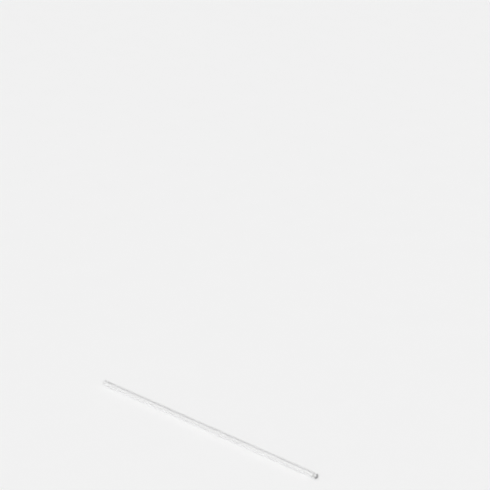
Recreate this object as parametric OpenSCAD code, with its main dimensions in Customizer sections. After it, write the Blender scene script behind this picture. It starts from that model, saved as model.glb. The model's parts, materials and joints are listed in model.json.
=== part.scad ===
// Glass capillary tube: thin-walled, open at one end and flame-sealed to a small bead at the other.
// It lies along X with the bead towards +X and the mouth towards -X. The bead rests on Z = 0, and
// X = 0 is halfway along the tube.

/* [Tube] */
// Overall length, from the rim of the mouth to the tip of the bead
overall_len = 100; // [60:5:150]
// Diameter of the bore
bore_d = 1.15; // [0.8:0.05:1.6]
// Thickness of the glass round the bore
wall = 0.25; // [0.15:0.01:0.35]

/* [Sealed end] */
// How far the bead stands out past the side of the tube
bead_swell = 0.055; // [0.01:0.005:0.3]
// Length of the bead from its widest place to its tip
bead_nose = 0.7; // [0.5:0.05:1.5]
// Radius of the neck, where the side of the tube runs out into the bead
neck_round = 0.8; // [0.1:0.1:4]
// Solid glass between the bottom of the bore and the tip of the bead
seal_len = 1.15; // [1:0.05:4]
// Radius at which the side of the bore turns in to its bottom
bore_end_round = 0.3; // [0.1:0.05:0.35]

/* [Hidden] */
$fn = 96;

// Radii
bore_r = bore_d / 2;
tube_r = bore_r + wall;
bead_r = tube_r + bead_swell;
rim_r = wall / 2;

// The section is drawn as [distance from the axis, distance from the rim of the mouth]
bore_depth = overall_len - seal_len;
bead_centre = [0, overall_len - bead_nose];
// The neck's arc touches the side of the tube and the back of the bead. Its centre lies this far behind the bead's
neck_rise = sqrt(pow(bead_r + neck_round, 2) - pow(tube_r + neck_round, 2));

// Straight side, its end melted round at the mouth
module side_section() {
    translate([0, rim_r])
        square([tube_r, bead_centre[1] - rim_r]);
    translate([tube_r - rim_r, rim_r])
        circle(r = rim_r);
}

// Glass between the tube and the bead, with a hollow outside curve that runs smoothly into both
module neck_section() {
    translate(bead_centre)
        difference() {
            polygon([[0, 0], [0, -neck_rise], [tube_r + neck_round, -neck_rise]]);
            translate([tube_r + neck_round, -neck_rise])
                circle(r = neck_round);
        }
}

// Bead of solid glass that closes the tube: round behind its widest place, with a blunter nose before it
module bead_section() {
    translate(bead_centre) {
        intersection() {
            circle(r = bead_r);
            translate([0, -neck_rise])
                square([bead_r, neck_rise]);
        }
        scale([1, bead_nose / bead_r])
            intersection() {
                circle(r = bead_r);
                square(bead_r);
            }
    }
}

// Hollow of the tube, with a rounded bottom
module bore_section() {
    straight = bore_depth - bore_end_round;
    square([bore_r, straight]);
    square([bore_r - bore_end_round, bore_depth]);
    translate([bore_r - bore_end_round, straight])
        circle(r = bore_end_round);
}

module capillary_tube() {
    color([0.88, 0.9, 0.91, 0.5])
        translate([-overall_len / 2, 0, bead_r])
            rotate([0, 90, 0])
                rotate_extrude()
                    difference() {
                        union() {
                            side_section();
                            neck_section();
                            bead_section();
                        }
                        bore_section();
                    }
}

capillary_tube();
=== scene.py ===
"""Looks of the glass capillary tube, drawn and flame-sealed, with its bench, light and camera. Metres."""

import json
import math

import bmesh
import bpy
from mathutils import Matrix, Vector


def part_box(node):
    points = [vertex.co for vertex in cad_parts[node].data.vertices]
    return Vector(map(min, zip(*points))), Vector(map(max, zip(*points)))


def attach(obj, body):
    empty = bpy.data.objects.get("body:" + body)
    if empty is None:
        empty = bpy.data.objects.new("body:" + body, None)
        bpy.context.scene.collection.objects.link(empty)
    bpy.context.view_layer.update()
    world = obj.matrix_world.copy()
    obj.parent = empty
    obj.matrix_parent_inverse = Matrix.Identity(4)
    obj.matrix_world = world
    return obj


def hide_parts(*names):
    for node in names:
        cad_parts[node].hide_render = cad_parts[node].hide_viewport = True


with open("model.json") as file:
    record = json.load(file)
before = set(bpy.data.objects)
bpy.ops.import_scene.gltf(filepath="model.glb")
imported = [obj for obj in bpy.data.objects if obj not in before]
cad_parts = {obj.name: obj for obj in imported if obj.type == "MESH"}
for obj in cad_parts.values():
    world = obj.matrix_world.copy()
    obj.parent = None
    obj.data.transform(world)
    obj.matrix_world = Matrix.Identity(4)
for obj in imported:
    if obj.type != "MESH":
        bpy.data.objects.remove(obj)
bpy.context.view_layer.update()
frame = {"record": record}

MM = 0.001

# ---- the tube's sizes, from the frame ----
NODE = "capillary_tube"
TUBE_LOW, TUBE_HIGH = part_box(NODE)
MOUNTS = {mount["name"]: mount["dims"] for mount in frame["record"]["mounts"]}
MOUTH_X = TUBE_LOW.x
TIP_X = TUBE_HIGH.x
AXIS_Z = (TUBE_LOW.z + TUBE_HIGH.z) / 2
BEAD_R = (TUBE_HIGH.z - TUBE_LOW.z) / 2
BORE_R = MOUNTS["bore"]["r_mm"] * MM
TUBE_R = MOUNTS["outside"]["r_mm"] * MM
RIM_R = (TUBE_R - BORE_R) / 2

# ---- the sealed end, in the section plane ----
SEAL_LEN = 1.15 * MM  # solid glass between the bottom of the bore and the tip
NOSE_LEN = 0.7 * MM  # from the widest place of the bead to its tip
NECK_R = 0.8 * MM  # hollow curve between the side and the bead
BORE_END_R = 0.3 * MM  # rounding of the bottom of the bore

# ---- what the drawing and the flame leave uneven ----
BORE_DRIFT = 0.006 * MM  # how far the bore wanders from the middle of the tube
DRIFT_TURN = 0.031  # length over which the wander turns once round
BORE_END_LEAN = 0.02 * MM  # how far the bottom of the bore settles to one side
LEAN_LEN = 3.0 * MM  # length over which the wander starts at the mouth and the lean at the bottom
NOSE_LEAN = 0.012 * MM  # how far the tip of the bead lies aside of the tube's axis, and as far below it

# ---- how closely the glass is meshed ----
SEGMENTS = 144  # round the tube
RING_GAP = 1.0 * MM  # between rings along the straight side and the bore
NOSE_STEPS = 36
BACK_STEPS = 8
NECK_STEPS = 12
RIM_STEPS = 16
BORE_END_STEPS = 14
ON_AXIS = 1e-9  # a ring smaller than this is a single point

# ---- camera ----
CAMERA_AT = Vector((0.3670, -0.3970, 0.2662))
CAMERA_AIM = Vector((-0.1138, 0.1453, 0.0))
CAMERA_ROLL = math.radians(2.09)
LENS = 128.87  # focal length in millimetres
CLIP_NEAR, CLIP_FAR = 0.01, 20.0

# ---- light: a bright dome over dimmer surroundings, and two dark walls that meet behind the tube ----
DOME = 1.25  # strength of the light from above
SURROUNDINGS = 0.9  # strength of the light from the level of the bench
DOME_STARTS, DOME_FULL = math.radians(2), math.radians(6)  # heights over which the one becomes the other
BACKDROP = 0.9  # what the camera sees past the bench

# Degrees. towards: its middle, anticlockwise from +X. half_width: to its side, which fades over edge.
# top and clear: heights where it ends and where the dome is full above it. glow: its own light.
MOUTH_WALL = {"towards": 165, "half_width": 54, "edge": 9, "top": 38, "clear": 46, "glow": 0.0}
SIDE_WALL = {"towards": 38, "half_width": 60, "edge": 6, "top": 27, "clear": 33, "glow": 0.1}

# ---- bench ----
BENCH_RADIUS = 4.0
BENCH_SIDES = 96
BENCH_WHITE = 0.9
BENCH_MOTTLE = 0.006  # how far its white goes up and down
MOTTLE_SCALE = 60.0
MOTTLE_DETAIL = 4.0
BENCH_ROUGHNESS = 0.9
BENCH_SPECULAR = 0.1


# ---------------------------------------------------------------- shape

def arc(centre, radius, start, stop, steps):
    """Points along an arc in the section plane, (along, out from the axis), angles in radians from +along."""
    turns = [start + (stop - start) * step / steps for step in range(steps + 1)]
    return [(centre[0] + radius * math.cos(a), centre[1] + radius * math.sin(a)) for a in turns]


def straight(start, stop, radius):
    """Points every RING_GAP along the tube at one radius, ends left out."""
    count = max(1, round(abs(stop - start) / RING_GAP))
    return [(start + (stop - start) * step / count, radius) for step in range(1, count)]


def outside_section():
    """From the tip of the bead, over the neck, along the side and round the rim to the mouth of the bore."""
    widest = TIP_X - NOSE_LEN
    neck_rise = math.sqrt((BEAD_R + NECK_R) ** 2 - (TUBE_R + NECK_R) ** 2)
    neck = (widest - neck_rise, TUBE_R + NECK_R)
    bead_end = math.pi - math.atan2(neck[1], neck_rise)
    rim = (MOUTH_X + RIM_R, BORE_R + RIM_R)
    nose = arc((0.0, 0.0), 1.0, 0.0, math.pi / 2, NOSE_STEPS)
    points = [(widest + NOSE_LEN * along, BEAD_R * out) for along, out in nose]
    points += arc((widest, 0.0), BEAD_R, math.pi / 2, bead_end, BACK_STEPS)[1:]
    points += arc(neck, NECK_R, bead_end - math.pi, -math.pi / 2, NECK_STEPS)[1:]
    points += straight(neck[0], rim[0], TUBE_R)
    points += arc(rim, RIM_R, math.pi / 2, 3 * math.pi / 2, RIM_STEPS)
    return points


def bore_section():
    """Down the bore to its rounded bottom."""
    stop = TIP_X - SEAL_LEN
    corner = (stop - BORE_END_R, BORE_R - BORE_END_R)
    points = straight(MOUTH_X + RIM_R, corner[0], BORE_R)
    points += arc(corner, BORE_END_R, math.pi / 2, 0.0, BORE_END_STEPS)
    points += [(stop, 0.0)]
    return points


def bore_shift(along):
    """How far the bore lies from the middle of the tube at one place: it wanders, and its bottom leans."""
    turn = 2 * math.pi * along / DRIFT_TURN
    from_bottom = (TIP_X - SEAL_LEN - along) / LEAN_LEN
    lean = BORE_END_LEAN * max(0.0, 1.0 - from_bottom) ** 2
    fade = min(1.0, (along - MOUTH_X) / LEAN_LEN)
    return fade * BORE_DRIFT * math.cos(turn), fade * BORE_DRIFT * math.sin(turn) + lean


def nose_shift(along):
    """How far the bead's nose lies off the axis at one place: nothing up to its widest, most at its tip."""
    share = max(0.0, 1.0 - (TIP_X - along) / NOSE_LEN)
    return NOSE_LEAN * share ** 2, -NOSE_LEAN * share ** 2


def turned(name, outside, bore):
    """A closed mesh turned from the section about the tube's axis."""
    made = bmesh.new()
    turns = [2 * math.pi * step / SEGMENTS for step in range(SEGMENTS)]
    rings = []
    for number, (along, out) in enumerate(outside + bore):
        aside, up = bore_shift(along) if number >= len(outside) else nose_shift(along)
        if out < ON_AXIS:
            rings.append([made.verts.new((along, aside, AXIS_Z + up))])
            continue
        ring = [(along, aside + out * math.sin(a), AXIS_Z + up + out * math.cos(a)) for a in turns]
        rings.append([made.verts.new(place) for place in ring])
    for ring, after in zip(rings, rings[1:]):
        for step in range(SEGMENTS):
            corners = [ring[step % len(ring)], ring[(step + 1) % len(ring)]]
            corners += [after[(step + 1) % len(after)], after[step % len(after)]]
            made.faces.new(list(dict.fromkeys(corners)))  # a triangle where one ring is a single point
    bmesh.ops.recalc_face_normals(made, faces=made.faces)
    return piece_from(name, made)


def piece_from(name, made):
    """An object of the finished mesh, smooth all over."""
    mesh = bpy.data.meshes.new(name)
    made.to_mesh(mesh)
    made.free()
    mesh.shade_smooth()
    piece = bpy.data.objects.new(name, mesh)
    bpy.context.scene.collection.objects.link(piece)
    return piece


# ---------------------------------------------------------------- nodes

COLOUR_A, COLOUR_B, COLOUR_RESULT = 6, 7, 2  # the colour sockets of a Mix node


def node(tree, kind, inputs, **settings):
    """A shader node. Each input is a value or the output of another node."""
    made = tree.nodes.new("ShaderNode" + kind)
    for name, value in settings.items():
        setattr(made, name, value)
    for name, value in inputs.items():
        if isinstance(value, bpy.types.NodeSocket):
            tree.links.new(value, made.inputs[name])
        else:
            made.inputs[name].default_value = value
    return made


def maths(tree, operation, *values):
    """The result of a sum on values or outputs."""
    return node(tree, "Math", dict(enumerate(values)), operation=operation).outputs[0]


def product(tree, first, second):
    """Two vectors multiplied part by part."""
    return node(tree, "VectorMath", {0: first, 1: second}, operation="MULTIPLY").outputs[0]


def blend(tree, share, first, second):
    """A colour on the way from the first to the second."""
    made = node(tree, "Mix", {"Factor": share, COLOUR_A: first, COLOUR_B: second}, data_type="RGBA")
    return made.outputs[COLOUR_RESULT]


def ramp(tree, value, start, stop, low, high):
    """Runs smoothly from low at start to high at stop."""
    ends = {"From Min": start, "From Max": stop, "To Min": low, "To Max": high}
    return node(tree, "MapRange", {"Value": value} | ends, interpolation_type="SMOOTHSTEP").outputs[0]


def new_material(name):
    """A material with its node tree and its shader."""
    material = bpy.data.materials.new(name)
    material.use_nodes = True
    return material, material.node_tree, material.node_tree.nodes["Principled BSDF"]


# ---------------------------------------------------------------- glass

BLACK = (0.0, 0.0, 0.0, 1.0)
WHITE = (1.0, 1.0, 1.0, 1.0)
FAINT_GREY = (0.997, 0.997, 0.998, 1.0)

MOUTH_MELT = 2 * MM  # how far from the mouth the flame has smoothed the draw lines away
SEAL_MELT = 2 * MM  # the same from the tip of the bead
SEAL_FADE = 6 * MM  # how far from the tip the draw lines start to fade

STREAKS_ALONG = 18.0  # how often the draw lines change, per metre along the tube
STREAKS_ROUND = 4200.0  # and per metre across it
STREAK_DETAIL = 3.0
STREAK_SMEAR = 0.012  # roughness of the strongest draw lines
SMEAR_FROM, SMEAR_FULL = 0.35, 0.8  # levels of the streaks where it starts and is full
WAVES = 420.0  # soft waves per metre, everywhere on the glass
WAVE_DETAIL = 1.0
STREAK_HEIGHT = 0.004 * MM  # relief of the draw lines
WAVE_HEIGHT = 0.025 * MM  # relief of the waves
GLASS_IOR = 1.474

SEAL_SHADE_BACK = 0.28 * MM  # from the bottom of the bore back to the middle of the painted shade ring
SEAL_SHADE_REACH = 0.24 * MM  # from its middle to where it ends, either way
SEAL_SHADE_DARK = 0.93  # share of the light that the painted shade keeps back at its middle


def drawn_side(tree, along):
    """1 where the tube is as it was drawn, falling to 0 where the flame has melted its two ends."""
    from_mouth = ramp(tree, along, MOUTH_X, MOUTH_X + MOUTH_MELT, 0.0, 1.0)
    from_seal = ramp(tree, along, TIP_X - SEAL_FADE, TIP_X - SEAL_MELT, 1.0, 0.0)
    return maths(tree, "MULTIPLY", from_mouth, from_seal)


def painted_seal_shade(tree, place, along):
    """1 in the middle of the thin ring of painted shade in the corner of the bore's bottom, 0 away from it: a
    dark ring painted into the glass's colour where bent light shows a dark line.
    """
    off = maths(tree, "ABSOLUTE", maths(tree, "SUBTRACT", along, TIP_X - SEAL_LEN - SEAL_SHADE_BACK))
    ring = ramp(tree, off, 0.0, SEAL_SHADE_REACH, 1.0, 0.0)
    across = product(tree, place, (0.0, 1.0, 1.0))
    out = node(tree, "VectorMath", {0: across, 1: (0.0, 0.0, AXIS_Z)}, operation="DISTANCE").outputs["Value"]
    inside = maths(tree, "LESS_THAN", out, (BORE_R + TUBE_R) / 2)
    return maths(tree, "MULTIPLY", ring, inside)


def drawn_glass():
    """Clear borosilicate: faint draw lines on the side, soft waves, and a ring of painted shade where the
    bore stops.
    """
    material, tree, shader = new_material("drawn_glass")
    place = node(tree, "TexCoord", {}).outputs["Object"]
    along = node(tree, "SeparateXYZ", {"Vector": place}).outputs["X"]
    side = drawn_side(tree, along)
    lines = product(tree, place, (STREAKS_ALONG, STREAKS_ROUND, STREAKS_ROUND))
    streaks = node(tree, "TexNoise", {"Vector": lines, "Scale": 1.0, "Detail": STREAK_DETAIL}).outputs["Fac"]
    waves = node(tree, "TexNoise", {"Vector": place, "Scale": WAVES, "Detail": WAVE_DETAIL}).outputs["Fac"]
    streaks_left = maths(tree, "MULTIPLY", streaks, side)
    streak_height = maths(tree, "MULTIPLY", streaks_left, STREAK_HEIGHT / WAVE_HEIGHT)
    height = maths(tree, "ADD", streak_height, waves)
    bump = node(tree, "Bump", {"Height": height, "Distance": WAVE_HEIGHT, "Strength": 1.0})
    tree.links.new(bump.outputs["Normal"], shader.inputs["Normal"])
    tint = blend(tree, waves, FAINT_GREY, WHITE)
    # Painted shade: a thin dark ring mixed into the glass's colour at the bottom of the bore stands in for
    # the dark line that bent light shows there.
    seal_shade_share = maths(tree, "MULTIPLY", painted_seal_shade(tree, place, along), SEAL_SHADE_DARK)
    tree.links.new(blend(tree, seal_shade_share, tint, BLACK), shader.inputs["Base Color"])
    smear = ramp(tree, streaks, SMEAR_FROM, SMEAR_FULL, 0.0, STREAK_SMEAR)
    tree.links.new(smear, shader.inputs["Roughness"])
    shader.inputs["IOR"].default_value = GLASS_IOR
    shader.inputs["Transmission Weight"].default_value = 1.0
    return material


# ---------------------------------------------------------------- surroundings

def grey(level):
    """An opaque colour with no hue."""
    return level, level, level, 1.0


def bench():
    """A wide, plain, pale bench top."""
    made = bmesh.new()
    bmesh.ops.create_circle(made, cap_ends=True, segments=BENCH_SIDES, radius=BENCH_RADIUS)
    piece = piece_from("bench", made)
    material, tree, shader = new_material("bench_top")
    place = node(tree, "TexCoord", {}).outputs["Object"]
    speckle = {"Vector": place, "Scale": MOTTLE_SCALE, "Detail": MOTTLE_DETAIL}
    mottle = node(tree, "TexNoise", speckle).outputs["Fac"]
    dark = grey(BENCH_WHITE - BENCH_MOTTLE)
    pale = grey(BENCH_WHITE + BENCH_MOTTLE)
    tree.links.new(blend(tree, mottle, dark, pale), shader.inputs["Base Color"])
    shader.inputs["Roughness"].default_value = BENCH_ROUGHNESS
    shader.inputs["Specular IOR Level"].default_value = BENCH_SPECULAR
    piece.data.materials.append(material)


def with_wall(tree, strength, rise, azimuth, wall):
    """The light with a dark wall in it, as wide and as high as the wall says."""
    angles = {name: math.radians(wall[name]) for name in ("towards", "half_width", "edge", "top", "clear")}
    turn = maths(tree, "WRAP", maths(tree, "SUBTRACT", azimuth, angles["towards"]), math.pi, -math.pi)
    aside = maths(tree, "ABSOLUTE", turn)
    starts, stops = angles["half_width"] - angles["edge"], angles["half_width"] + angles["edge"]
    on_wall = ramp(tree, aside, starts, stops, 1.0, 0.0)
    over_wall = ramp(tree, rise, angles["top"], angles["clear"], wall["glow"], DOME)
    return node(tree, "Mix", {"Factor": on_wall, "A": strength, "B": over_wall}).outputs["Result"]


def light():
    """Soft light from all round and above, kept off two sides so that the glass shows its edges."""
    world = bpy.data.worlds.new("soft_light")
    bpy.context.scene.world = world
    world.use_nodes = True
    tree = world.node_tree
    tree.nodes.clear()
    towards = node(tree, "TexCoord", {}).outputs["Generated"]
    parts = node(tree, "SeparateXYZ", {"Vector": towards})
    rise = maths(tree, "ARCSINE", parts.outputs["Z"])
    azimuth = maths(tree, "ARCTAN2", parts.outputs["Y"], parts.outputs["X"])
    strength = ramp(tree, rise, DOME_STARTS, DOME_FULL, SURROUNDINGS, DOME)
    strength = with_wall(tree, strength, rise, azimuth, SIDE_WALL)
    strength = with_wall(tree, strength, rise, azimuth, MOUTH_WALL)
    seen = node(tree, "LightPath", {}).outputs["Is Camera Ray"]
    shown = node(tree, "Mix", {"Factor": seen, "A": strength, "B": BACKDROP}).outputs["Result"]
    glow = node(tree, "Background", {"Color": WHITE, "Strength": shown})
    tree.links.new(glow.outputs[0], node(tree, "OutputWorld", {}).inputs["Surface"])


def camera():
    """The camera, with its small roll."""
    lens = bpy.data.cameras.new("camera")
    lens.lens = LENS
    lens.clip_start, lens.clip_end = CLIP_NEAR, CLIP_FAR
    piece = bpy.data.objects.new("camera", lens)
    bpy.context.scene.collection.objects.link(piece)
    aim = (CAMERA_AIM - CAMERA_AT).to_track_quat("-Z", "Y").to_matrix().to_4x4()
    piece.matrix_world = Matrix.Translation(CAMERA_AT) @ aim @ Matrix.Rotation(CAMERA_ROLL, 4, "Z")
    bpy.context.scene.camera = piece


camera()
light()
bench()
bpy.context.scene.view_settings.view_transform = "Standard"
bpy.context.scene.cycles.blur_glossy = 0.0  # light keeps its sharp path through the glass
bpy.context.scene.cycles.filter_width = 3.0  # the softness of a plain product picture

tube = turned("glass_tube", outside_section(), bore_section())
tube.data.materials.append(drawn_glass())
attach(tube, "root")
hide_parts(NODE)
